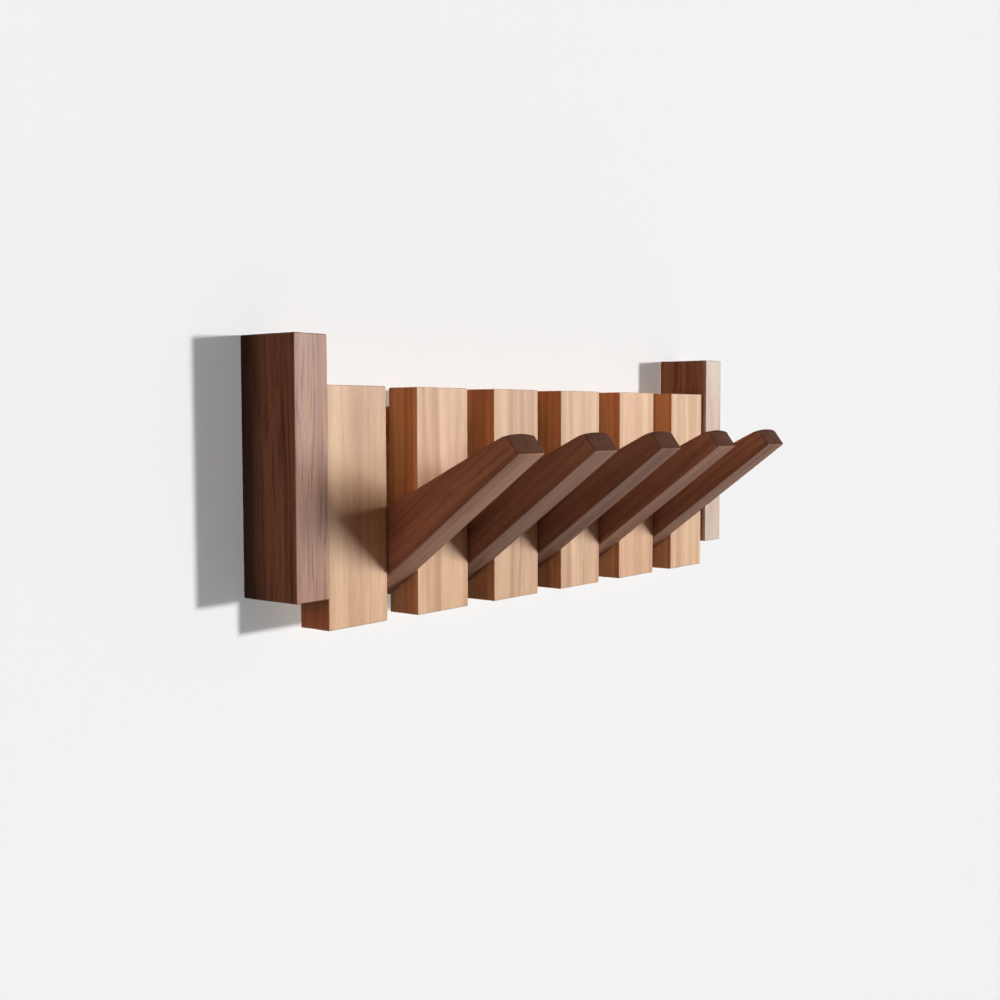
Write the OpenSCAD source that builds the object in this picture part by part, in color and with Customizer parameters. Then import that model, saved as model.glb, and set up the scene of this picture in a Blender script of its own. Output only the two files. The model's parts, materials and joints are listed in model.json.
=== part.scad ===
// Wall rack with five wooden hooks that fold flat into the gaps between its front blocks.
// +X is right, +Z is up. The wall is the plane Y = 0 and the rack stands on its -Y side.
// The origin lies on the wall, midway between the entry holes of the two hanger plates.
// The hooks are drawn folded down, ready for use.

/* [Front blocks] */
// Width of one front block
block_w = 42; // [38:1:50]
// Height of the front blocks
block_h = 120; // [116:1:130]
// Thickness of the front blocks
block_t = 20; // [20:0.5:24]
// Clear gap between two front blocks
gap_w = 23; // [20:0.5:26]

/* [End blocks] */
// Width of an end block
end_w = 22; // [20:1:28]
// Height of the end blocks, and length of a folded hook
end_h = 128; // [124:1:134]
// Height of the end blocks' lower ends above those of the front blocks
end_rise = 16; // [12:1:17]
// How far the end blocks stand out in front of the front blocks
end_proud = 2.5; // [1.5:0.5:3]
// Gap between an end block and the front block beside it
end_gap = 1.5; // [0:0.5:3]

/* [Back board] */
// Thickness of the back board
board_t = 15; // [14:0.5:18]
// Height of the back board
board_h = 94; // [90:1:96]
// Height of the solid band above the pockets, against which a folded hook rests
band_h = 18.5; // [16:0.5:18.5]

/* [Hooks] */
// Free space at each side of a hook in its gap
hook_side_gap = 0.5; // [0.5:0.1:1]
// Height of the pivot above the lower ends of the front blocks
pivot_h = 34; // [33:0.5:34.5]
// Distance of the pivot behind the faces of the front blocks
pivot_back = 14.5; // [14.5:0.5:15]
// Angle through which a hook opens
open_deg = 53; // [50:1:55]
// Radius of the round back of a hook's base, about the pivot
barrel_r = 16; // [15.5:0.25:16.5]
// Slant of a hook's back face
taper_deg = 11; // [10.5:0.5:11.5]
// Width of the flat end of a hook
tip_flat = 10.5; // [9.5:0.5:11]
// Radius between a hook's flat end and its back face
tip_r = 10; // [9:0.5:11]

/* [Hardware] */
// Diameter of the pivot rod
rod_d = 5; // [4:0.5:6]
// Diameter of the entry hole of a hanger plate
entry_d = 9; // [8:0.5:10]
// Width of the slot of a hanger plate
slot_w = 4.5; // [4:0.5:5]
// Height of the entry holes above the lower ends of the front blocks
fixing_h = 112; // [110:1:114]

/* [Hidden] */
$fn = 64;

hook_n = 5;
block_n = hook_n + 1;
pitch = block_w + gap_w;
board_w = hook_n * pitch + block_w + 2 * end_gap;
end_x = board_w / 2 + end_w / 2;

// Levels above the origin
block_z = -fixing_h;
end_z = block_z + end_rise;
pivot_z = block_z + pivot_h;

// Planes in front of the wall
front_y = -(board_t + block_t);
pivot_y = front_y + pivot_back;
end_front_y = front_y - end_proud;

// Hook outline, measured from the pivot with the hook folded
hook_w = gap_w - 2 * hook_side_gap;
hook_front = pivot_back + end_proud;
hook_top = end_h - (pivot_h - end_rise);
hook_bottom = pivot_h - end_rise;
barrel_gap = 0.3;
stop_gap = 0.05;
pocket_d = pivot_y + board_t + barrel_r + barrel_gap;
stop_r = barrel_r + barrel_gap - stop_gap;
pocket_w = gap_w + 1;
arc_steps = 16;

// Running fit of the rod in the hooks and front blocks
rod_fit = 0.05;
rod_bite = 14;

// Friction washers beside each hook
washer_d = 12;
washer_t = 0.4;

// Screws that hold the front blocks from behind, as heights above the front blocks' lower ends
screw_heights = [50, 101];
screw_d = 3.5;
screw_head_d = 7;
screw_l = 27;

// Dowels between the back board and the end blocks
dowel_heights = [36, 92];
dowel_d = 8;
dowel_l = 29;
dowel_in_end = 14;

// Hanger plates in the backs of the end blocks, as heights from the origin
plate_w = 16;
plate_t = 1.5;
plate_low = -15;
plate_high = 27;
slot_rise = 12;
cavity_extra = 1;
cavity_d = 6;
plate_screw_heights = [-10, 21.5];
plate_screw_d = 2.8;
plate_screw_head_d = 5.6;
plate_screw_l = 13;

walnut = [0.40, 0.24, 0.16];
beech = [0.86, 0.69, 0.53];
steel = [0.72, 0.72, 0.74];
zinc = [0.78, 0.77, 0.72];
nylon = [0.90, 0.89, 0.85];

function block_x(k) = (k - (block_n + 1) / 2) * pitch;
function gap_x(k) = (k - (hook_n + 1) / 2) * pitch;
function arc(c, r, a0, a1) = [
    for (i = [0:arc_steps])
        let (a = a0 + (a1 - a0) * i / arc_steps)
        c + r * [cos(a), sin(a)]
];

// A cuboid given by its low corner and its high corner
module span(low, high) {
    translate(low) cube(high - low);
}

// A cylinder along X on the pivot's axis
module on_pivot(x0, x1, d) {
    translate([x0, pivot_y, pivot_z])
        rotate([0, 90, 0])
            cylinder(d = d, h = x1 - x0);
}

// A countersunk wood screw that starts at the origin and points along -Y
module wood_screw(d, head_d, l) {
    head_h = (head_d - d) / 2 + 0.3;
    tip_h = d;
    rotate([90, 0, 0])
        difference() {
            union() {
                cylinder(d1 = head_d, d2 = d, h = head_h);
                cylinder(d = d, h = l - tip_h);
                translate([0, 0, l - tip_h])
                    cylinder(d1 = d, d2 = 0.6, h = tip_h);
            }
            for (a = [0, 90])
                rotate([0, 0, a])
                    translate([-head_d * 0.27, -0.45, -1])
                        cube([head_d * 0.54, 0.9, 1 + head_h * 0.6]);
        }
}

// The hole that a wood screw fills
module screw_hole(d, head_d, l) {
    head_h = (head_d - d) / 2 + 0.3;
    rotate([90, 0, 0]) {
        cylinder(d1 = head_d, d2 = d, h = head_h);
        cylinder(d = d, h = l);
    }
}

module front_block(k) {
    x = block_x(k);
    color(beech)
        difference() {
            span([x - block_w / 2, front_y, block_z],
                 [x + block_w / 2, -board_t, block_z + block_h]);
            on_pivot(x - block_w, x + block_w, rod_d + 2 * rod_fit);
            for (h = screw_heights)
                translate([x, 0, block_z + h])
                    screw_hole(screw_d, screw_head_d, screw_l);
        }
}

module back_board() {
    color(beech)
        difference() {
            span([-board_w / 2, -board_t, end_z], [board_w / 2, 0, end_z + board_h]);
            for (k = [1:hook_n])
                span([gap_x(k) - pocket_w / 2, -board_t - 1, end_z - 1],
                     [gap_x(k) + pocket_w / 2, pocket_d - board_t, end_z + board_h - band_h]);
            for (k = [1:block_n], h = screw_heights)
                translate([block_x(k), 0, block_z + h])
                    screw_hole(screw_d, screw_head_d, screw_l);
            end_dowels();
        }
}

// An end block, on the left for side -1 and on the right for side 1
module end_block(side) {
    x = side * end_x;
    inner_x = side * board_w / 2;
    rod_end = side * (board_w / 2 + rod_bite);
    color(walnut)
        difference() {
            span([x - end_w / 2, end_front_y, end_z], [x + end_w / 2, 0, end_z + end_h]);
            on_pivot(min(inner_x, rod_end), max(inner_x, rod_end), rod_d);
            end_dowels();
            span([x - plate_w / 2, -plate_t, plate_low], [x + plate_w / 2, 1, plate_high]);
            keyhole(x, entry_d + cavity_extra, entry_d, cavity_d + plate_t, 0);
            for (h = plate_screw_heights)
                translate([x, 0, h])
                    screw_hole(plate_screw_d, plate_screw_head_d, plate_screw_l);
        }
}

// A keyhole cut from the wall side: a round entry with a slot that rises from it
module keyhole(x, round_d, slot_d, depth, lead) {
    translate([x, lead, 0])
        rotate([90, 0, 0]) {
            cylinder(d = round_d, h = depth + lead);
            translate([0, slot_rise, 0])
                cylinder(d = slot_d, h = depth + lead);
            translate([-slot_d / 2, 0, 0])
                cube([slot_d, slot_rise, depth + lead]);
        }
}

module hanger_plate(side) {
    x = side * end_x;
    color(zinc)
        difference() {
            span([x - plate_w / 2, -plate_t, plate_low], [x + plate_w / 2, 0, plate_high]);
            keyhole(x, entry_d, slot_w, plate_t + 1, 1);
            for (h = plate_screw_heights)
                translate([x, 0, h])
                    screw_hole(plate_screw_d, plate_screw_head_d, plate_screw_l);
        }
}

// Outline of a folded hook: +X of the sketch points to the wall, +Y up, with the pivot at its origin
module hook_outline() {
    back = [cos(taper_deg), sin(taper_deg)];
    along = [-sin(taper_deg), cos(taper_deg)];
    tip = [tip_flat - hook_front, hook_top];
    tip_off = tip * back - (barrel_r - tip_r);
    tip_c = (barrel_r - tip_r) * back + (tip * along - sqrt(tip_r * tip_r - tip_off * tip_off)) * along;
    tip_a = acos(((tip - tip_c) * [1, 0]) / tip_r);
    stop_foot = stop_r * [cos(open_deg), -sin(open_deg)];
    stop_low = [(stop_r - hook_bottom * sin(open_deg)) / cos(open_deg), -hook_bottom];
    difference() {
        union() {
            circle(r = barrel_r, $fn = 128);
            polygon([[0, 0], [-hook_front, -hook_bottom], stop_low, stop_foot]);
            polygon(concat(
                [[0, 0], barrel_r * back],
                arc(tip_c, tip_r, taper_deg, tip_a),
                [[-hook_front, hook_top], [-hook_front, -hook_bottom]]));
        }
        circle(d = rod_d + 2 * rod_fit);
    }
}

module hook(k) {
    color(walnut)
        translate([gap_x(k) - hook_w / 2, pivot_y, pivot_z])
            rotate([open_deg, 0, 0])
                rotate([90, 0, 90])
                    linear_extrude(hook_w)
                        hook_outline();
}

module pivot_rod() {
    color(steel)
        on_pivot(-board_w / 2 - rod_bite, board_w / 2 + rod_bite, rod_d);
}

// The two washers of a hook, each against the side of a front block
module hook_washers(k) {
    color(nylon)
        for (side = [-1, 1]) {
            x0 = gap_x(k) + side * gap_w / 2;
            x1 = x0 - side * washer_t;
            difference() {
                on_pivot(min(x0, x1), max(x0, x1), washer_d);
                on_pivot(min(x0, x1) - 1, max(x0, x1) + 1, rod_d + 2 * rod_fit);
            }
        }
}

module block_screws() {
    color(zinc)
        for (k = [1:block_n], h = screw_heights)
            translate([block_x(k), 0, block_z + h])
                wood_screw(screw_d, screw_head_d, screw_l);
}

module end_dowels() {
    color(beech)
        for (side = [-1, 1], h = dowel_heights) {
            outer = side * (board_w / 2 + dowel_in_end);
            inner = outer - side * dowel_l;
            translate([min(outer, inner), -board_t / 2, block_z + h])
                rotate([0, 90, 0])
                    cylinder(d = dowel_d, h = dowel_l);
        }
}

module hanger_screws() {
    color(zinc)
        for (side = [-1, 1], h = plate_screw_heights)
            translate([side * end_x, 0, h])
                wood_screw(plate_screw_d, plate_screw_head_d, plate_screw_l);
}

end_block(-1);  // end_block_left
end_block(1);  // end_block_right
front_block(1);  // front_block_1
front_block(2);  // front_block_2
front_block(3);  // front_block_3
front_block(4);  // front_block_4
front_block(5);  // front_block_5
front_block(6);  // front_block_6
back_board();
hook(1);  // hook_1
hook(2);  // hook_2
hook(3);  // hook_3
hook(4);  // hook_4
hook(5);  // hook_5
pivot_rod();
hook_washers(1);  // hook_washers_1
hook_washers(2);  // hook_washers_2
hook_washers(3);  // hook_washers_3
hook_washers(4);  // hook_washers_4
hook_washers(5);  // hook_washers_5
block_screws();
end_dowels();
hanger_plate(-1);  // hanger_plate_left
hanger_plate(1);  // hanger_plate_right
hanger_screws();
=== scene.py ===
import json
import math

import bmesh
import bpy
import numpy as np
from bpy.props import FloatProperty, FloatVectorProperty, PointerProperty
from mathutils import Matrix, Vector


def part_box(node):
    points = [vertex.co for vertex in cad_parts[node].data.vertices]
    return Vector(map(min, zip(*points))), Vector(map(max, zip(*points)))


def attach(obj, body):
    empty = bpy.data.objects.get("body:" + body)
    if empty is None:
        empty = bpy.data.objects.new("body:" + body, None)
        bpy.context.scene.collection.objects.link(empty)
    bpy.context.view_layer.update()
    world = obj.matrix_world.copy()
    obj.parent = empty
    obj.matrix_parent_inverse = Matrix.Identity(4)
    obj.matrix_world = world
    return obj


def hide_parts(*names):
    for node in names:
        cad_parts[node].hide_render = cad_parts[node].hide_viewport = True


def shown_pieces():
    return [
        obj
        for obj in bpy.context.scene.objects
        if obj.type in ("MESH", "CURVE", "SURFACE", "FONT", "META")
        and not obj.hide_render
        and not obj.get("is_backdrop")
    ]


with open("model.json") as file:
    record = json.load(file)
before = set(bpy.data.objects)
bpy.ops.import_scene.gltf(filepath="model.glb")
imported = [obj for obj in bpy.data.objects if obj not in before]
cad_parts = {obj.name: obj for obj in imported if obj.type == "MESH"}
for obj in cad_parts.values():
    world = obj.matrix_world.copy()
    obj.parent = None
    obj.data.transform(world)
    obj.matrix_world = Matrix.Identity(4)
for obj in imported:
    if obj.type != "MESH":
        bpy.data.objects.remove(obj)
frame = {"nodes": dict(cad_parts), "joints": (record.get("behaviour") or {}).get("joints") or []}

bl_info = {
    "name": "Fold-down Hook Rack",
    "version": (1, 0, 0),
    "blender": (4, 5, 0),
    "location": "View3D > Sidebar > Hook Rack",
    "description": "Builds the wood, the fittings and the stage of a wall rack with fold-down hooks",
    "category": "Add Mesh",
}

MM = 0.001
BLOCKS = sorted(n for n in frame["nodes"] if n.startswith("front_block"))
HOOKS = sorted(n for n in frame["nodes"] if n.startswith("hook_") and "washers" not in n)
END_BLOCKS = ["end_block_left", "end_block_right"]
FOLDS = {j["child"]: j for j in frame["joints"]}
OPEN_ANGLE = math.radians(FOLDS[HOOKS[0]]["range_deg"][1])

# Directions of the frame, used for the way that a plank's grain runs and the way that its face looks.
UP = (0, 0, 1)
RIGHT = (1, 0, 0)
FORWARD = (0, -1, 0)

# Like planks are cut this many radians apart round the tree, and some way apart along its trunk, so
# that no two look alike.
NEXT_PLANK = 2.4

# Sockets of a Mix node that mixes colours. Its other data types have sockets with the same names.
SHARE, FROM, TO, MIXED = 0, 6, 7, 2


def linear(hex_colour):
    """An sRGB hex colour as linear red, green and blue."""
    parts = [int(hex_colour[i : i + 2], 16) / 255 for i in (1, 3, 5)]
    return [c / 12.92 if c <= 0.04045 else ((c + 0.055) / 1.055) ** 2.4 for c in parts]


def colour(name, description, hex_colour):
    """A colour setting whose default is an sRGB hex value."""
    return FloatVectorProperty(
        name=name, description=description, subtype="COLOR", min=0, max=1, default=linear(hex_colour)
    )


def length(name, description, default_mm):
    """A length setting in metres whose default is given in millimetres."""
    return FloatProperty(
        name=name, description=description, default=default_mm * MM, min=0, unit="LENGTH", precision=4
    )


def angle(name, description, default_deg):
    """An angle setting in radians whose default is given in degrees."""
    return FloatProperty(
        name=name, description=description, default=math.radians(default_deg), subtype="ANGLE"
    )


def strength(name, description, default):
    """The strength of a light."""
    return FloatProperty(name=name, description=description, default=default, min=0)


def plank_tones(name, description, values):
    """How much paler than the mean each of several planks is."""
    return FloatVectorProperty(
        name=name, description=description, size=len(values), default=values, min=-1, max=1
    )


class RackShape(bpy.types.PropertyGroup):
    """Sizes of the sanded edges and of the hooks' outline."""

    block_edge: length("Block Edge", "Radius of the sanded edges of the front blocks and back board", 0.6)
    end_edge: length("End Block Edge", "Radius of the sanded edges of the end blocks", 0.7)
    hook_edge: length("Hook Edge", "Radius of the sanded edges of the hooks", 0.8)
    barrel: length("Hook Barrel", "Radius of the round back of a hook's base", 16)
    taper: angle("Hook Taper", "Slant of a hook's back face", 11)
    tip_flat: length("Tip Flat", "Width of the flat end of a hook", 10.5)
    tip_round: length("Tip Round", "Radius between a hook's flat end and its back face", 10)
    tip_crown: length("Tip Crown", "How far the middle of a hook's end bulges above its sides", 1.1)


class RackColours(bpy.types.PropertyGroup):
    """Colours of the woods and fittings."""

    beech_light: colour("Beech Early Wood", "Paler wood between the beech's growth rings", "#dbb68d")
    beech_dark: colour("Beech Late Wood", "Darker wood of the beech's growth rings", "#b08059")
    beech_fleck: colour("Beech Fleck", "Ray flecks and pores of the beech", "#8f5c38")
    walnut_light: colour("Walnut Early Wood", "Paler wood between the walnut's growth rings", "#b08066")
    walnut_dark: colour("Walnut Late Wood", "Darker wood of the walnut's growth rings", "#8b5c46")
    walnut_pore: colour("Walnut Pore", "Pores, dark streaks and end grain of the walnut", "#41200f")
    # Heart colour, also used as painted shade: the dark heart lies along the left end block's back edge and
    # darkens its left face near the wall.
    walnut_heart_painted_shade: colour("Walnut Heart", "Darkest wood, at the heart of the walnut tree", "#220f08")
    # Sapwood colour, also used as a painted highlight: it makes the right end block's front face pale.
    walnut_sap_painted_highlight: colour("Walnut Sapwood", "Pale wood just under the bark of the walnut tree", "#bbaa9b")
    zinc: colour("Zinc", "Zinc plating of the screws and hanger plates", "#c3c0b6")
    steel: colour("Steel", "Bright drawn steel of the pivot rod", "#b9b9bb")
    nylon: colour("Nylon", "Natural nylon of the washers", "#e6e2d6")
    block_tones: plank_tones(
        "Block Tones", "How much paler each front block's plank is", (-0.03, 0.05, -0.04, 0.0, 0.16, 0.07)
    )
    hook_tones: plank_tones(
        "Hook Tones", "How much paler each hook's plank is", (0.07, -0.24, -0.28, 0.08, -0.1)
    )
    # Painted light: the hooks are painted paler towards their tips and darker towards their bases, where
    # the blocks shade them.
    hook_painted_tip_light: FloatProperty(
        name="Hook Paling",
        description="How much paler a hook gets with each millimetre to its tip",
        default=0.004,
    )
    end_tones: plank_tones("End Block Tones", "How much paler each end block's plank is", (0.0, 0.3))


class RackStage(bpy.types.PropertyGroup):
    """The wall, the lights and the camera."""

    wall: colour("Wall", "Matt paint of the wall, and the pale room", "#f1f1f1")
    lens: FloatProperty(name="Lens", description="Focal length in millimetres", default=46.2, min=20)
    camera_place: FloatVectorProperty(
        name="Camera Place",
        description="Where the camera stands",
        default=(-620.6 * MM, -483.3 * MM, -8.1 * MM),
        subtype="TRANSLATION",
        unit="LENGTH",
        precision=4,
    )
    camera_turn: angle("Camera Turn", "Turn of the camera to the right", 51.95)
    camera_dip: angle("Camera Dip", "How far the camera looks down", 3.67)
    camera_roll: angle("Camera Roll", "How far the camera leans to the side", 0.12)
    key: strength("Key", "Strength of the soft light on the rack", 3.75)
    side: strength("Side Light", "Strength of the warm light from the left", 0.6)
    block_side: strength("Block Side Light", "Strength of the left light on the front blocks", 0.95)
    back: strength("Back Light", "Strength of the light behind the rack", 2.0)
    wall_key: strength("Wall Key", "Strength of the crisper light on the wall", 2.58)
    wall_fill: strength("Wall Fill", "Strength of the even light on the wall", 0.76)
    room_light: strength("Room Light", "Mean strength of the room's light", 0.1)
    side_tint: colour("Side Tint", "Colour of the light from the left", "#ffccb1")
    block_tint: colour("Block Side Tint", "Colour of the left light on the front blocks", "#ffa27a")


# ---------------------------------------------------------------- places in the frame


def node_span(name):
    """A CAD node's low and high corner as arrays."""
    low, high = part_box(name)
    return np.array(low), np.array(high)


def node_middle(name):
    """The middle of a CAD node's box."""
    low, high = node_span(name)
    return (low + high) / 2


def pivot_place():
    """The pivot's Y and Z."""
    return np.array(FOLDS[HOOKS[0]]["pos_m"][1:])


def pivot_bore():
    """Radius of the bores on the pivot, which clear the rod by the running fit."""
    low, high = node_span("pivot_rod")
    running_fit = 0.05 * MM
    return (high[2] - low[2]) / 2 + running_fit


# ---------------------------------------------------------------- outlines


def smooth_step(values):
    """0 up to 0, 1 from 1, and 3t^2 - 2t^3 between."""
    clipped = np.clip(values, 0, 1)
    return clipped * clipped * (3 - 2 * clipped)


def rounded_outline(corners, radii, steps=8):
    """A closed outline of straight lines with round corners, and its outward normals, counter-clockwise.

    At each corner, the arc of the given radius touches both lines: its centre lies inward on the
    corner's bisector at radius / cos(half the turn), and the arc runs from the normal of the line
    that comes in to the normal of the line that goes out.
    """
    corners = np.asarray(corners, float)
    radii = np.asarray(radii, float)
    lines = np.roll(corners, -1, axis=0) - corners
    lines /= np.linalg.norm(lines, axis=1)[:, None]
    out_normals = np.stack([lines[:, 1], -lines[:, 0]], axis=1)
    in_normals = np.roll(out_normals, 1, axis=0)
    bisectors = in_normals + out_normals
    bisectors /= np.sum(bisectors * out_normals, axis=1)[:, None]
    centres = corners - radii[:, None] * bisectors
    start = np.arctan2(in_normals[:, 1], in_normals[:, 0])
    turn = (np.arctan2(out_normals[:, 1], out_normals[:, 0]) - start + math.pi) % (2 * math.pi) - math.pi
    angles = start[:, None] + turn[:, None] * np.linspace(0, 1, steps)
    normals = np.stack([np.cos(angles), np.sin(angles)], axis=2)
    points = centres[:, None, :] + radii[:, None, None] * normals
    return points.reshape(-1, 2), normals.reshape(-1, 2)


def box_outline(low, high, radius):
    """The rounded outline of a rectangle from its low to its high corner."""
    (x0, y0), (x1, y1) = low, high
    return rounded_outline([(x0, y0), (x1, y0), (x1, y1), (x0, y1)], [radius] * 4)


def finer(points, normals, gap):
    """The same outline with its straight stretches cut into pieces no longer than gap."""
    ahead = np.roll(points, -1, axis=0)
    counts = np.maximum(1, np.ceil(np.linalg.norm(ahead - points, axis=1) / gap)).astype(int)
    index = np.repeat(np.arange(len(points)), counts)
    place = (np.arange(len(index)) - np.repeat(np.cumsum(counts) - counts, counts)) / counts[index]
    where = points[index] + (ahead - points)[index] * place[:, None]
    facing = normals[index] + (np.roll(normals, -1, axis=0) - normals)[index] * place[:, None]
    return where, facing / np.linalg.norm(facing, axis=1)[:, None]


# ---------------------------------------------------------------- surfaces


def new_piece(name, points, faces, material):
    """An object from arrays of points and of faces, at the origin."""
    mesh = bpy.data.meshes.new(name)
    mesh.from_pydata(points.reshape(-1, 3), [], faces)
    mesh.materials.append(material)
    made = bpy.data.objects.new(name, mesh)
    bpy.context.scene.collection.objects.link(made)
    return made


def ring_quads(rows, columns):
    """Faces between the neighbouring rows of a grid whose columns close into a ring."""
    index = np.arange(rows * columns).reshape(rows, columns)
    ahead = np.roll(index, -1, axis=1)
    return np.stack([index[:-1], ahead[:-1], ahead[1:], index[1:]], axis=2).reshape(-1, 4)


def quarter_round(edge, steps):
    """Inset and height of the points along a quarter circle, from the flat at the end to the wall."""
    angles = np.linspace(math.pi / 2, 0, steps)
    return edge * (1 - np.cos(angles)), edge * (1 - np.sin(angles))


def eased_block(name, low, high, edge, material, steps=6):
    """A cuboid with eased edges.

    The first parameter climbs from the bottom to the top and the second runs round the rounded
    rectangle of the plan. A point is the rectangle's point, moved inward by the inset of a quarter
    circle at that height. Two flat faces close the ends.
    """
    corner_radius = 1.3 * edge
    outline, normals = box_outline(low[:2], high[:2], corner_radius)
    inset, rise = quarter_round(edge, steps)
    insets = np.concatenate([inset, inset[::-1]])
    heights = np.concatenate([low[2] + rise, (high[2] - rise)[::-1]])
    grid = np.empty((len(heights), len(outline), 3))
    grid[:, :, :2] = outline - normals * insets[:, None, None]
    grid[:, :, 2] = heights[:, None]
    count = len(outline)
    ends = [list(range(count))[::-1], list(range(grid.size // 3 - count, grid.size // 3))]
    return new_piece(name, grid, ring_quads(len(heights), count).tolist() + ends, material)


def merged_copy(node):
    """A copy of a CAD node's mesh whose loose triangles are joined into one closed surface."""
    copied = bpy.data.objects.new(node + "_cut", frame["nodes"][node].data.copy())
    same_point = 0.001 * MM
    shell = bmesh.new()
    shell.from_mesh(copied.data)
    bmesh.ops.remove_doubles(shell, verts=shell.verts, dist=same_point)
    shell.to_mesh(copied.data)
    shell.free()
    bpy.context.scene.collection.objects.link(copied)
    return copied


def eased_node(node, edge, material):
    """The eased block of a CAD node's size, with the bores and recesses that are cut into that node.

    It is the part that the eased block and the CAD solid share. The block is smaller by a hair, so
    that no two faces lie in one plane.
    """
    low, high = node_span(node)
    hair = 0.002 * MM
    piece = eased_block(node + "_wood", low + hair, high - hair, edge, material)
    cut = merged_copy(node)
    shared = piece.modifiers.new("bores", "BOOLEAN")
    shared.operation = "INTERSECT"
    shared.solver = "EXACT"
    shared.object = cut
    whole = piece.data
    piece.data = bpy.data.meshes.new_from_object(piece.evaluated_get(bpy.context.evaluated_depsgraph_get()))
    piece.modifiers.clear()
    bpy.data.meshes.remove(whole)
    bpy.data.objects.remove(cut)
    piece.data.materials.clear()
    piece.data.materials.append(material)
    smooth_rounds(piece)
    return piece


def smooth_rounds(piece):
    """Shades the rounds smoothly and keeps the flats flat and the bores' rims sharp."""
    sharp_from = math.radians(32)
    piece.data.shade_smooth()
    piece.data.set_sharp_from_angle(angle=sharp_from)
    weighted = piece.modifiers.new("flat faces", "WEIGHTED_NORMAL")
    weighted.keep_sharp = True


def bored_hook(name, outline, bulges, span, edge, material, steps=6, columns=9):
    """A slab that spans two planes of X, with eased edges, the pivot's bore along X and a crowned end.

    The first parameter runs along the outline, and the second once round the slab's section: from
    side to side over the outer wall, down the side to the bore, and back through the bore. A point
    of the outer wall is the outline's point, moved inward by the inset of a quarter circle near the
    sides, and outward by its bulge times (1 - t * t) where t runs from -1 to 1 across the width. A
    point of the bore lies on the pivot's circle, in the same direction from the pivot.
    """
    points, normals = outline
    low_x, high_x = span
    inset, rise = quarter_round(edge, steps)
    middle = np.linspace(low_x + edge, high_x - edge, columns + 2)[1:-1]
    across = np.concatenate([low_x + rise, middle, (high_x - rise)[::-1]])
    insets = np.concatenate([inset, 0 * middle, inset[::-1]])
    place = (across - (low_x + high_x) / 2) / ((high_x - low_x) / 2)
    moves = bulges[:, None] * (1 - place**2) - insets
    outer = points[:, None, :] + normals[:, None, :] * moves[:, :, None]

    rim = edge / 3
    bore_inset, bore_rise = quarter_round(rim, steps)
    bore_across = np.concatenate([high_x - bore_rise, (low_x + bore_rise)[::-1]])
    widths = pivot_bore() + np.concatenate([bore_inset, bore_inset[::-1]])
    rays = points - pivot_place()
    rays /= np.linalg.norm(rays, axis=1)[:, None]
    inner = pivot_place() + rays[:, None, :] * widths[:, None]

    flat = np.concatenate([outer, inner], axis=1)
    grid = np.empty(flat.shape[:2] + (3,))
    grid[:, :, 0] = np.concatenate([across, bore_across])
    grid[:, :, 1:] = flat
    closed = np.concatenate([grid, grid[:1]])
    quads = ring_quads(*closed.shape[:2])[:, ::-1] % (grid.size // 3)
    piece = new_piece(name, grid, quads.tolist(), material)
    smooth_rounds(piece)
    return piece


def plank(piece, grain, face, pith, run, tone, painted_light_slope=0.0):
    """Stores each point's place in the tree: across the face, out of it, and along the grain, in mm.

    grain and face are the directions of the grain and of the front face. The tree's middle, the pith,
    passes through the given point of the frame, and run is how far along the trunk the piece was cut,
    in millimetres. tone makes the whole piece paler, and the last argument is how much paler it gets
    with each millimetre along the grain: on the hooks this is painted light, paler towards the tips
    that stand out into the light and darker towards the bases in the shade between the blocks.
    """
    axes = np.stack([np.cross(face, grain), face, grain])
    points = np.empty(len(piece.data.vertices) * 3)
    piece.data.vertices.foreach_get("co", points)
    places = (points.reshape(-1, 3) - pith) @ axes.T / MM + (0, 0, run)
    attribute = piece.data.attributes.new("plank", "FLOAT_VECTOR", "POINT")
    attribute.data.foreach_set("vector", places.astype(np.float32).reshape(-1))
    paleness = piece.data.attributes.new("tone", "FLOAT", "POINT")
    # Painted light along the grain: paler towards a hook's tip, darker towards its shaded base.
    tone_and_painted_light = tone + painted_light_slope * (places[:, 2] - places[:, 2].mean())
    paleness.data.foreach_set("value", tone_and_painted_light.astype(np.float32))


# ---------------------------------------------------------------- materials


def add(tree, kind, inputs=(), **settings):
    """Adds a node. Settings are its own properties, and an input is linked if it is a socket, else set."""
    made = tree.nodes.new(kind)
    for key, value in settings.items():
        setattr(made, key, value)
    for key, value in dict(inputs).items():
        if isinstance(value, bpy.types.NodeSocket):
            tree.links.new(value, made.inputs[key])
        else:
            made.inputs[key].default_value = value
    return made


def new_material(name):
    """An empty node material and its tree."""
    made = bpy.data.materials.new(name)
    made.use_nodes = True
    made.node_tree.nodes.clear()
    return made, made.node_tree


def rgba(values):
    """A colour setting with full alpha."""
    return (*values, 1.0)


def drawn_out(tree, place, width, run, detail=2.0):
    """Noise whose cells are as wide as width and as long along the grain as run."""
    cells = (1 / width, 1 / width, 1 / run)
    scaled = add(tree, "ShaderNodeMapping", {"Vector": place, "Scale": cells}).outputs[0]
    return add(tree, "ShaderNodeTexNoise", {"Vector": scaled, "Scale": 1.0, "Detail": detail})


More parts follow.
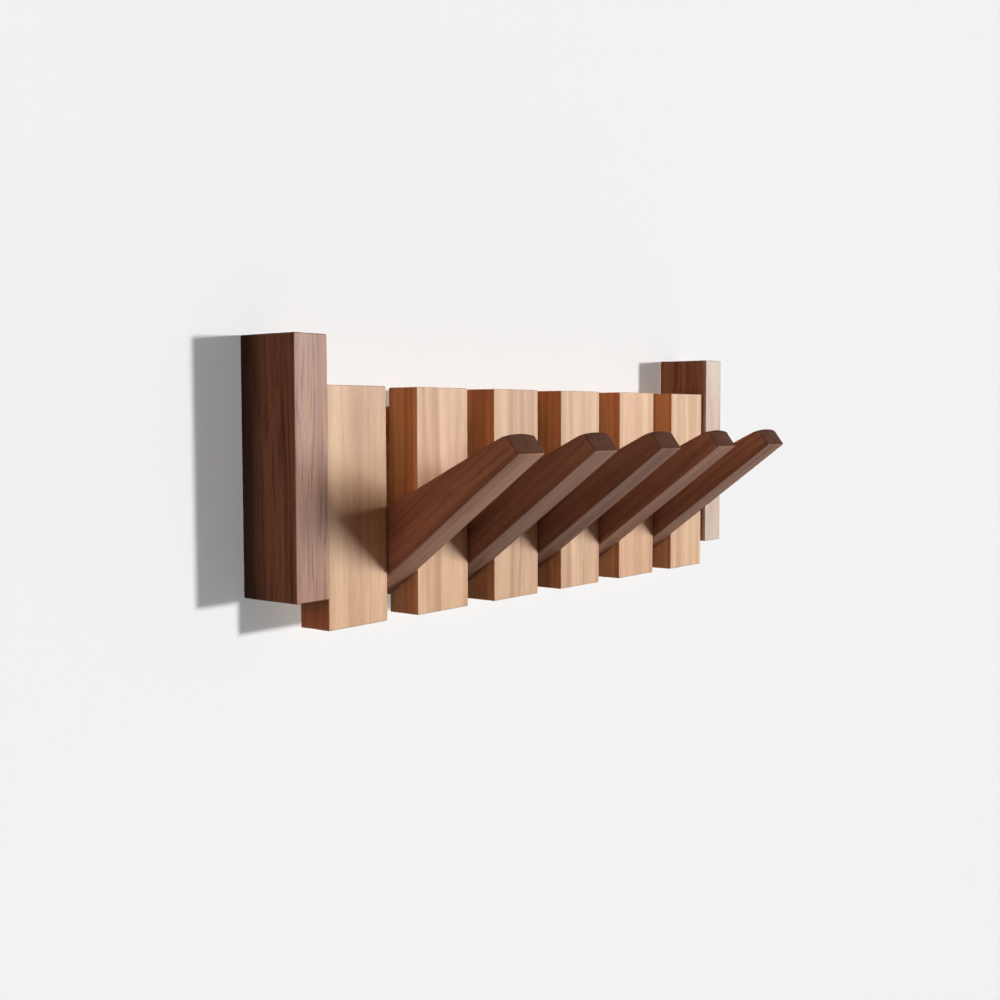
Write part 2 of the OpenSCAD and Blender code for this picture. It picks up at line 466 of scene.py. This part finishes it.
def wood(
    name, grain, tones, ring, band, sway, streaks, flecks, ends, rough, heart=None, sap=None, lying=None
):
    """Wood, sawn, sanded and finished with satin oil. Sizes are in millimetres.

    tones are the colours of early wood, late wood and pores. The growth rings are a line of noise
    read by the distance from the pith. sway bends everything slowly. Broad bands, dark streaks, flecks
    and fibres are noises drawn out along the grain. streaks and flecks are each a width, a length and
    a strength. heart and sap are each a colour, the distance from the pith where it is full and the one
    where it has faded. Where the surface crosses the grain it is darker by ends and duller, as end grain
    soaks up more oil. lying turns Object coordinates so that their Z runs along the grain.
    """
    light, dark, pore = tones
    material, tree = new_material(name)
    if lying is None:
        place = add(tree, "ShaderNodeAttribute", attribute_name="plank").outputs["Vector"]
    else:
        object_place = add(tree, "ShaderNodeTexCoord").outputs["Object"]
        per_mm = (1 / MM,) * 3
        turned = add(
            tree, "ShaderNodeMapping", {"Vector": object_place, "Rotation": lying, "Scale": per_mm}
        )
        place = turned.outputs[0]

    # The bends are some 30 mm wide and 140 mm long, as the grain of a sawn plank wanders.
    slow = drawn_out(tree, place, width=30, run=140).outputs["Color"]
    centred = add(
        tree, "ShaderNodeVectorMath", {0: slow, 1: (0.5, 0.5, 0.5)}, operation="SUBTRACT"
    ).outputs[0]
    push = add(tree, "ShaderNodeVectorMath", {0: centred, "Scale": sway}, operation="SCALE").outputs[0]
    bent = add(tree, "ShaderNodeVectorMath", {0: place, 1: push}, operation="ADD").outputs[0]
    flat = add(tree, "ShaderNodeVectorMath", {0: bent, 1: (1, 1, 0)}, operation="MULTIPLY").outputs[0]
    radius = add(tree, "ShaderNodeVectorMath", {0: flat}, operation="LENGTH").outputs["Value"]

    # Rings and bands together choose between early and late wood.
    ring_place = add(tree, "ShaderNodeMath", {0: radius, 1: ring}, operation="DIVIDE").outputs[0]
    rings = add(
        tree, "ShaderNodeTexNoise", {"W": ring_place, "Scale": 1.0, "Detail": 2.5}, noise_dimensions="1D"
    ).outputs["Fac"]
    late = add(
        tree,
        "ShaderNodeMapRange",
        {"Value": rings, "From Min": 0.34, "From Max": 0.68, "To Max": 0.4},
        interpolation_type="SMOOTHSTEP",
    ).outputs[0]
    bands = drawn_out(tree, bent, width=band, run=350).outputs["Fac"]
    broad = add(
        tree,
        "ShaderNodeMapRange",
        {"Value": bands, "From Min": 0.36, "From Max": 0.64, "To Max": 0.6},
        interpolation_type="SMOOTHSTEP",
    ).outputs[0]
    share = add(tree, "ShaderNodeMath", {0: late, 1: broad}, operation="ADD").outputs[0]
    body = add(
        tree, "ShaderNodeMix", {SHARE: share, FROM: rgba(light), TO: rgba(dark)}, data_type="RGBA"
    ).outputs[MIXED]

    width, run, strongest = streaks
    dark_lines = drawn_out(tree, bent, width, run, detail=3.0).outputs["Fac"]
    streak = add(
        tree,
        "ShaderNodeMapRange",
        {"Value": dark_lines, "From Min": 0.48, "From Max": 0.7, "To Max": strongest},
        interpolation_type="SMOOTHSTEP",
    ).outputs[0]
    body = add(
        tree, "ShaderNodeMix", {SHARE: streak, FROM: body, TO: rgba(pore)}, data_type="RGBA"
    ).outputs[MIXED]
    # On the end blocks these zones are placed as painted light: the dark heart as painted shade along the
    # left block's face near the wall, the pale sap as a painted highlight over the right block's front.
    for zone_colour, full, faded in filter(None, (heart, sap)):
        zone = add(
            tree,
            "ShaderNodeMapRange",
            {"Value": radius, "From Min": full, "From Max": faded, "To Min": 0.9, "To Max": 0},
            interpolation_type="SMOOTHSTEP",
        ).outputs[0]
        body = add(
            tree, "ShaderNodeMix", {SHARE: zone, FROM: body, TO: rgba(zone_colour)}, data_type="RGBA"
        ).outputs[MIXED]

    width, run, strongest = flecks
    pores = drawn_out(tree, bent, width, run).outputs["Fac"]
    fleck = add(
        tree,
        "ShaderNodeMapRange",
        {"Value": pores, "From Min": 0.62, "From Max": 0.72, "To Max": strongest},
        interpolation_type="SMOOTHSTEP",
    ).outputs[0]
    marked = add(
        tree, "ShaderNodeMix", {SHARE: fleck, FROM: body, TO: rgba(pore)}, data_type="RGBA"
    ).outputs[MIXED]

    # Real fibres are far finer than the 0.4 mm that they need to show.
    fibre = drawn_out(tree, bent, width=0.4, run=14, detail=3.0).outputs["Fac"]
    depth = add(
        tree,
        "ShaderNodeMapRange",
        {"Value": fibre, "From Min": 0.3, "From Max": 0.7, "To Min": 0.9, "To Max": 1.1},
    ).outputs[0]
    # The tone attribute holds each plank's own paleness and, on the hooks, painted light along their
    # length.
    tone = add(tree, "ShaderNodeAttribute", attribute_name="tone").outputs["Fac"]
    level = add(tree, "ShaderNodeMath", {0: depth, 1: tone}, operation="ADD").outputs[0]
    toned = add(tree, "ShaderNodeVectorMath", {0: marked, "Scale": level}, operation="SCALE").outputs[0]

    normal = add(tree, "ShaderNodeTexCoord").outputs["Normal"]
    along = add(
        tree, "ShaderNodeVectorMath", {0: normal, 1: grain}, operation="DOT_PRODUCT"
    ).outputs["Value"]
    crossing = add(tree, "ShaderNodeMath", {0: along}, operation="ABSOLUTE").outputs[0]
    end_grain = add(
        tree,
        "ShaderNodeMapRange",
        {"Value": crossing, "From Min": 0.4, "From Max": 0.95, "To Max": ends},
        interpolation_type="SMOOTHSTEP",
    ).outputs[0]
    seen = add(
        tree, "ShaderNodeMix", {SHARE: end_grain, FROM: toned, TO: rgba(pore)}, data_type="RGBA"
    ).outputs[MIXED]

    # Pores are dents in the fibres' relief, and end grain gleams less than a face does.
    dents = add(
        tree, "ShaderNodeMath", {0: fleck, 1: -1.5, 2: fibre}, operation="MULTIPLY_ADD"
    ).outputs[0]
    relief = add(
        tree, "ShaderNodeBump", {"Height": dents, "Strength": 0.3, "Distance": 0.05 * MM}
    ).outputs[0]
    satin = add(
        tree,
        "ShaderNodeMapRange",
        {"Value": fibre, "From Min": 0.3, "From Max": 0.7, "To Min": rough - 0.04, "To Max": rough + 0.05},
    ).outputs[0]
    dull = add(
        tree, "ShaderNodeMath", {0: end_grain, 1: 0.4, 2: satin}, operation="MULTIPLY_ADD"
    ).outputs[0]
    gloss = add(
        tree, "ShaderNodeMath", {0: end_grain, 1: -0.35, 2: 0.5}, operation="MULTIPLY_ADD"
    ).outputs[0]
    shader = add(
        tree,
        "ShaderNodeBsdfPrincipled",
        {"Base Color": seen, "Roughness": dull, "IOR": 1.5, "Specular IOR Level": gloss, "Normal": relief},
    )
    add(tree, "ShaderNodeOutputMaterial", {"Surface": shader.outputs[0]})
    return material


def beech(name, grain, colours, lying=None):
    """Steamed beech, sanded and oiled: even, pinkish straw wood with faint rings and short brown flecks.

    Beech has ray flecks some 3 mm long. They are drawn wider than they are, so that they show.
    """
    return wood(
        name,
        grain,
        tones=(colours.beech_light, colours.beech_dark, colours.beech_fleck),
        ring=3.2,
        band=12,
        sway=7,
        streaks=(1.8, 90, 0.16),
        flecks=(0.45, 3.2, 0.3),
        ends=0.35,
        rough=0.5,
        lying=lying,
    )


def walnut(name, grain, colours, streak_strength, heart=None, sap=None):
    """Black walnut, sanded and oiled: warm brown wood with wavy dark streaks and open pores.

    Walnut's pores are grooves some 5 mm long. They are drawn wider than they are, so that they show.
    """
    return wood(
        name,
        grain,
        tones=(colours.walnut_light, colours.walnut_dark, colours.walnut_pore),
        ring=4.2,
        band=9,
        sway=13,
        streaks=(1.7, 50, streak_strength),
        flecks=(0.35, 5, 0.4),
        ends=0.9,
        rough=0.52,
        heart=heart,
        sap=sap,
    )


def metal(name, tint, rough, mark_mm, stretch):
    """Metal with drawn or plated marks: noise, stretched along X, moves its colour and gleam a little."""
    material, tree = new_material(name)
    object_place = add(tree, "ShaderNodeTexCoord").outputs["Object"]
    scale = 1 / (mark_mm * MM)
    cells = (scale / stretch, scale, scale)
    marks_place = add(tree, "ShaderNodeMapping", {"Vector": object_place, "Scale": cells}).outputs[0]
    marks = add(
        tree, "ShaderNodeTexNoise", {"Vector": marks_place, "Scale": 1.0, "Detail": 3.0}
    ).outputs["Fac"]
    cloud = add(
        tree, "ShaderNodeMapRange", {"Value": marks, "To Min": rough - 0.1, "To Max": rough + 0.12}
    ).outputs[0]
    darker = [part * 0.82 for part in tint]
    shade = add(
        tree, "ShaderNodeMix", {SHARE: marks, FROM: rgba(darker), TO: rgba(tint)}, data_type="RGBA"
    ).outputs[MIXED]
    relief = add(
        tree, "ShaderNodeBump", {"Height": marks, "Strength": 0.2, "Distance": 0.02 * MM}
    ).outputs[0]
    shader = add(
        tree,
        "ShaderNodeBsdfPrincipled",
        {"Base Color": shade, "Metallic": 1.0, "Roughness": cloud, "Normal": relief},
    )
    add(tree, "ShaderNodeOutputMaterial", {"Surface": shader.outputs[0]})
    return material


def nylon_sheet(tint):
    """Natural nylon, punched from sheet: off-white, satin, slightly mottled."""
    material, tree = new_material("Natural nylon sheet")
    object_place = add(tree, "ShaderNodeTexCoord").outputs["Object"]
    mottle_width = 1.5 * MM
    mottle = add(
        tree, "ShaderNodeTexNoise", {"Vector": object_place, "Scale": 1 / mottle_width, "Detail": 2.0}
    ).outputs["Fac"]
    darker = [part * 0.9 for part in tint]
    shade = add(
        tree, "ShaderNodeMix", {SHARE: mottle, FROM: rgba(darker), TO: rgba(tint)}, data_type="RGBA"
    ).outputs[MIXED]
    shader = add(tree, "ShaderNodeBsdfPrincipled", {"Base Color": shade, "Roughness": 0.45, "IOR": 1.53})
    add(tree, "ShaderNodeOutputMaterial", {"Surface": shader.outputs[0]})
    return material


def wall_paint(tint):
    """Matt emulsion, rolled: even, without gleam. Its back is clear, so that the rack shows from behind."""
    material, tree = new_material("Matt wall emulsion")
    behind = add(tree, "ShaderNodeNewGeometry").outputs["Backfacing"]
    paint = add(
        tree,
        "ShaderNodeBsdfPrincipled",
        {"Base Color": rgba(tint), "Roughness": 0.9, "Specular IOR Level": 0.1},
    )
    clear = add(tree, "ShaderNodeBsdfTransparent")
    mixed = add(tree, "ShaderNodeMixShader", {0: behind, 1: paint.outputs[0], 2: clear.outputs[0]})
    add(tree, "ShaderNodeOutputMaterial", {"Surface": mixed.outputs[0]})
    return material


def pale_room(tint):
    """An even pale surround that lights nothing, only seen."""
    material, tree = new_material("Pale room")
    glow = add(tree, "ShaderNodeEmission", {"Color": rgba(tint)})
    add(tree, "ShaderNodeOutputMaterial", {"Surface": glow.outputs[0]})
    return material


# ---------------------------------------------------------------- operators


def finish_piece(piece, node, body="rack"):
    """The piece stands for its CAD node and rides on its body."""
    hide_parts(node)
    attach(piece, body)


class RACK_OT_front_blocks(bpy.types.Operator):
    """Build the six beech front blocks"""

    bl_idname = "rack.front_blocks"
    bl_label = "Front Blocks"

    def execute(self, context):
        colours = context.scene.rack_colours
        material = beech("Oiled beech front block", UP, colours)
        for number, name in enumerate(BLOCKS):
            piece = eased_node(name, context.scene.rack_shape.block_edge, material)
            aside, behind = 30 * math.sin(NEXT_PLANK * number), 65
            pith = node_middle(name) + np.array([aside, behind, 0]) * MM
            plank(piece, UP, FORWARD, pith, run=400.0 * number, tone=colours.block_tones[number])
            finish_piece(piece, name)
        return {"FINISHED"}


class RACK_OT_end_blocks(bpy.types.Operator):
    """Build the two walnut end blocks"""

    bl_idname = "rack.end_blocks"
    bl_label = "End Blocks"

    def execute(self, context):
        colours = context.scene.rack_colours
        # Painted shade: the dark heart darkens the left end block's left face towards the wall, where shade
        # falls.
        heart = (colours.walnut_heart_painted_shade, 8, 25)
        # Painted highlight: the pale sapwood covers the right end block's front face, over real sapwood
        # colour.
        sap = (colours.walnut_sap_painted_highlight, 64, 60)
        material = walnut("Oiled walnut end block", UP, colours, 0.55, heart, sap)
        # The left block is cut beside the pith, by its back edge, so that its real dark heart colour paints
        # shade along its left face near the wall. The right one reaches into the sapwood, which paints a
        # highlight over its front face in real sapwood colour.
        piths_from_middle = ((-14, 22, 0), (8, 43, 0))
        for number, name in enumerate(END_BLOCKS):
            piece = eased_node(name, context.scene.rack_shape.end_edge, material)
            pith = node_middle(name) + np.array(piths_from_middle[number]) * MM
            plank(piece, UP, FORWARD, pith, run=700.0 * number, tone=colours.end_tones[number])
            finish_piece(piece, name)
        return {"FINISHED"}


def hook_outline(shape):
    """The outline of a folded hook about its pivot, its normals, and how much the crown lifts each point.

    The plane is (towards the wall, up). The outline's lines are the foot, the stop, the back, the
    round's tangent, the flat end and the front, each given by its normal and its distance from the
    pivot, and its corners are where neighbours meet. The round back of the base is the corner between
    the stop and the back. The crown starts at the end's front corner, grows over the flat end, and
    fades out down the back.
    """
    # The stop stands out from the barrel by the barrel's gap in its pocket, so that it meets the floor.
    stop_gap = 0.25 * MM
    # The tip's round is a little tighter than its arc, so that it ends before the next line does.
    tip_fit = 0.96
    # The crown has gone this far below the end, and fades over the stretch above that.
    crown_end, crown_fade = 28 * MM, 22 * MM
    # Faces that look to the foot more than this get no crown.
    foot_side = -0.5
    pivot_y, pivot_z = pivot_place()
    end_low, end_high = node_span(END_BLOCKS[0])
    front = pivot_y - end_low[1]
    top = end_high[2] - pivot_z
    bottom = pivot_z - end_low[2]
    back = np.array([math.cos(shape.taper), math.sin(shape.taper)])
    along = np.array([-back[1], back[0]])
    tip = np.array([shape.tip_flat - front, top])
    reach = shape.barrel - shape.tip_round
    off = tip @ back - reach
    centre = reach * back + (tip @ along - math.sqrt(shape.tip_round**2 - off**2)) * along
    tip_normal = (tip - centre) / shape.tip_round
    stop_normal = np.array([math.cos(OPEN_ANGLE), -math.sin(OPEN_ANGLE)])
    stop = shape.barrel + stop_gap
    lines = [
        ((0.0, -1.0), bottom, shape.hook_edge),
        (stop_normal, stop, shape.hook_edge * 2),
        (back, shape.barrel, shape.barrel),
        (tip_normal, tip @ tip_normal, shape.tip_round * tip_fit),
        ((0.0, 1.0), top, shape.hook_edge),
        ((-1.0, 0.0), front, shape.hook_edge),
    ]
    normals = np.array([line[0] for line in lines], float)
    distances = np.array([line[1] for line in lines], float)
    pairs = np.stack([np.roll(normals, 1, axis=0), normals], axis=1)
    known = np.stack([np.roll(distances, 1), distances], axis=1)
    corners = np.linalg.solve(pairs, known[:, :, None])[:, :, 0]
    rounded = rounded_outline(corners, [line[2] for line in lines], steps=10)
    points, facing = finer(*rounded, gap=6 * MM)
    grown = smooth_step((points[:, 0] + front - shape.hook_edge) / shape.tip_flat)
    faded = smooth_step((points[:, 1] - top + crown_end) / crown_fade)
    return points, facing, shape.tip_crown * grown * faded * (facing @ along > foot_side)


class RACK_OT_hooks(bpy.types.Operator):
    """Build the five walnut hooks, folded down"""

    bl_idname = "rack.hooks"
    bl_label = "Hooks"

    def execute(self, context):
        shape = context.scene.rack_shape
        colours = context.scene.rack_colours
        sine, cosine = math.sin(OPEN_ANGLE), math.cos(OPEN_ANGLE)
        grain = (0.0, -sine, cosine)
        face = (0.0, -cosine, -sine)
        material = walnut("Oiled walnut hook", grain, colours, 0.3)
        points, normals, bulges = hook_outline(shape)
        turn = np.array([[cosine, sine], [-sine, cosine]])
        outline = points @ turn + pivot_place(), normals @ turn
        for number, name in enumerate(HOOKS):
            low, high = node_span(name)
            span = low[0], high[0]
            piece = bored_hook(name + "_wood", outline, bulges, span, shape.hook_edge, material)
            aside, behind, above = 20 * math.cos(NEXT_PLANK * number), 30, 40
            pith = node_middle(name) + np.array([aside, behind, above]) * MM
            tone = colours.hook_tones[number]
            # The hooks' tone grows towards their tips: painted light, with painted shade at the bases
            # between the blocks.
            plank(piece, grain, face, pith, run=500.0 * number, tone=tone, painted_light_slope=colours.hook_painted_tip_light)
            finish_piece(piece, name, name)
        return {"FINISHED"}


class RACK_OT_back_board(bpy.types.Operator):
    """Build the back board, and give its dowels their beech"""

    bl_idname = "rack.back_board"
    bl_label = "Back Board"

    def execute(self, context):
        colours = context.scene.rack_colours
        material = beech("Oiled beech back board", RIGHT, colours)
        piece = eased_node("back_board", context.scene.rack_shape.block_edge, material)
        behind, above = 60, 30
        pith = node_middle("back_board") + np.array([0, behind, above]) * MM
        plank(piece, RIGHT, FORWARD, pith, run=900.0, tone=0.0)
        finish_piece(piece, "back_board")
        along_x = (0.0, math.radians(-90), 0.0)
        dowels = frame["nodes"]["end_dowels"].data.materials
        dowels.clear()
        dowels.append(beech("Raw beech dowel", RIGHT, colours, lying=along_x))
        return {"FINISHED"}


class RACK_OT_fittings(bpy.types.Operator):
    """Give the rod, washers, screws and hanger plates their metals and nylon"""

    bl_idname = "rack.fittings"
    bl_label = "Fittings"

    def execute(self, context):
        colours = context.scene.rack_colours
        # Drawing leaves fine lines along the rod, so its gleam is bright and streaky. Real ones are
        # finer than the 0.4 mm that they need to show.
        rod = metal("Bright drawn steel rod", colours.steel, rough=0.3, mark_mm=0.4, stretch=30)
        # Zinc plating grows in small crystals, so its gleam is soft and cloudy.
        zinc = metal("Zinc plated steel fixing", colours.zinc, rough=0.38, mark_mm=0.8, stretch=1)
        nylon = nylon_sheet(colours.nylon)
        finishes = {"pivot_rod": rod, "block_screws": zinc, "hanger_screws": zinc}
        finishes.update({name: zinc for name in frame["nodes"] if name.startswith("hanger_plate")})
        finishes.update({name: nylon for name in frame["nodes"] if "washers" in name})
        for name, material in finishes.items():
            data = frame["nodes"][name].data
            data.materials.clear()
            data.materials.append(material)
        return {"FINISHED"}


def sheet_of(name, corners, material):
    """A flat four-sided sheet for the stage."""
    sheet = new_piece(name, np.array(corners, float), [(0, 1, 2, 3)], material)
    sheet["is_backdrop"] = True
    return sheet


def sun(name, energy, shone_on, turn, rise, spread, tint=(1, 1, 1)):
    """A far light that shines only on the given objects.

    turn is its angle from straight in front towards the right, rise its angle above the level, and
    spread how wide it looks, which sets how soft its shadows are, all in degrees.
    """
    light = bpy.data.lights.new(name, "SUN")
    light.energy = energy
    light.angle = math.radians(spread)
    light.color = tint
    lamp = bpy.data.objects.new(name, light)
    level = math.cos(math.radians(rise))
    turned = math.radians(turn)
    towards = Vector((math.sin(turned) * level, -math.cos(turned) * level, math.sin(math.radians(rise))))
    lamp.rotation_euler = towards.to_track_quat("Z", "Y").to_euler()
    bpy.context.scene.collection.objects.link(lamp)
    receivers = bpy.data.collections.new(name + " receivers")
    for piece in shone_on:
        receivers.objects.link(piece)
    lamp.light_linking.receiver_collection = receivers
    return lamp


def unlit(thing):
    """Keeps a stage object from bouncing light, from being mirrored and from casting shadows."""
    thing.visible_diffuse = False
    thing.visible_glossy = False
    thing.visible_shadow = False


def room_lighting(mean):
    """A world whose light falls off evenly from its brightest side, down to a least strength."""
    # The room is brightest to the right and below, where its floor throws light back.
    brightest = (0.7, 0.1, -0.68)
    slope = 3 * mean
    least = 0.2 * mean
    world = bpy.data.worlds.new("room light")
    world.use_nodes = True
    tree = world.node_tree
    direction = add(tree, "ShaderNodeTexCoord").outputs["Generated"]
    towards = add(
        tree, "ShaderNodeVectorMath", {0: direction, 1: brightest}, operation="DOT_PRODUCT"
    ).outputs["Value"]
    sloped = add(
        tree, "ShaderNodeMath", {0: towards, 1: slope, 2: mean}, operation="MULTIPLY_ADD"
    ).outputs[0]
    level = add(tree, "ShaderNodeMath", {0: sloped, 1: least}, operation="MAXIMUM").outputs[0]
    background = tree.nodes["Background"]
    background.inputs["Color"].default_value = (1, 1, 1, 1)
    tree.links.new(level, background.inputs["Strength"])
    return world


class RACK_OT_stage(bpy.types.Operator):
    """Build the wall, the pale room, the lights and the camera"""

    bl_idname = "rack.stage"
    bl_label = "Stage"

    def execute(self, context):
        scene = context.scene
        stage = scene.rack_stage

        # The room's sizes are in metres. The wall stands a hair behind the rack's back.
        half, ceiling, floor, rounding = 6.0, 3.0, -1.4, 0.5
        wall_y = 0.4 * MM
        floor_line = [(-half, wall_y, floor), (half, wall_y, floor)]
        ceiling_line = [(half, wall_y, ceiling), (-half, wall_y, ceiling)]
        wall = sheet_of("wall", floor_line + ceiling_line, wall_paint(stage.wall))
        unlit(wall)
        low, high = np.array((-half, -half, floor)), np.array((half, half, ceiling))
        room = eased_block("room", low, high, rounding, pale_room(stage.wall))
        unlit(room)
        room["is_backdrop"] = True

        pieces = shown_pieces()
        front_blocks = [piece for piece in pieces if "front_block" in piece.name]
        others = [piece for piece in pieces if piece not in front_blocks]
        no_hooks = [piece for piece in pieces if "hook" not in piece.name]
        sun("rack key", stage.key, pieces, turn=43, rise=13, spread=24)
        sun("side light", stage.side, others, turn=-84, rise=5, spread=40, tint=stage.side_tint)
        warmer = stage.block_tint
        sun("block side light", stage.block_side, front_blocks, turn=-76, rise=20, spread=60, tint=warmer)
        sun("back light", stage.back, no_hooks, turn=165, rise=25, spread=10)
        sun("wall key", stage.wall_key, [wall], turn=37.5, rise=2.5, spread=4.5)
        wall_fill = sun("wall fill", stage.wall_fill, [wall], turn=0, rise=0, spread=4.5)
        wall_fill.data.use_shadow = False
        scene.world = room_lighting(stage.room_light)
        scene.view_settings.view_transform = "Standard"

        camera = bpy.data.cameras.new("camera")
        camera.lens = stage.lens
        camera.clip_start = 0.01
        seat = bpy.data.objects.new("camera", camera)
        seat.location = stage.camera_place
        seat.rotation_euler = (math.pi / 2 - stage.camera_dip, stage.camera_roll, -stage.camera_turn)
        scene.collection.objects.link(seat)
        scene.camera = seat
        return {"FINISHED"}


class RACK_PT_panel(bpy.types.Panel):
    """The rack's operators and settings"""

    bl_label = "Hook Rack"
    bl_idname = "RACK_PT_panel"
    bl_space_type = "VIEW_3D"
    bl_region_type = "UI"
    bl_category = "Hook Rack"

    def draw(self, context):
        for operator in OPERATORS:
            self.layout.operator(operator.bl_idname)
        for group in (context.scene.rack_shape, context.scene.rack_colours, context.scene.rack_stage):
            box = self.layout.box()
            for key in group.__annotations__:
                box.prop(group, key)


OPERATORS = (
    RACK_OT_front_blocks,
    RACK_OT_end_blocks,
    RACK_OT_hooks,
    RACK_OT_back_board,
    RACK_OT_fittings,
    RACK_OT_stage,
)
GROUPS = {"rack_shape": RackShape, "rack_colours": RackColours, "rack_stage": RackStage}


def register():
    """Adds the settings, the operators and the panel to Blender."""
    for cls in (*GROUPS.values(), *OPERATORS, RACK_PT_panel):
        bpy.utils.register_class(cls)
    for key, group in GROUPS.items():
        setattr(bpy.types.Scene, key, PointerProperty(type=group))


def unregister():
    """Takes them out again."""
    for key in GROUPS:
        delattr(bpy.types.Scene, key)
    for cls in reversed((*GROUPS.values(), *OPERATORS, RACK_PT_panel)):
        bpy.utils.unregister_class(cls)


def main():
    """Registers the add-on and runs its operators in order."""
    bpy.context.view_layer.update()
    register()
    for operator in OPERATORS:
        group, name = operator.bl_idname.split(".")
        getattr(getattr(bpy.ops, group), name)()


if __name__ == "__main__":
    main()
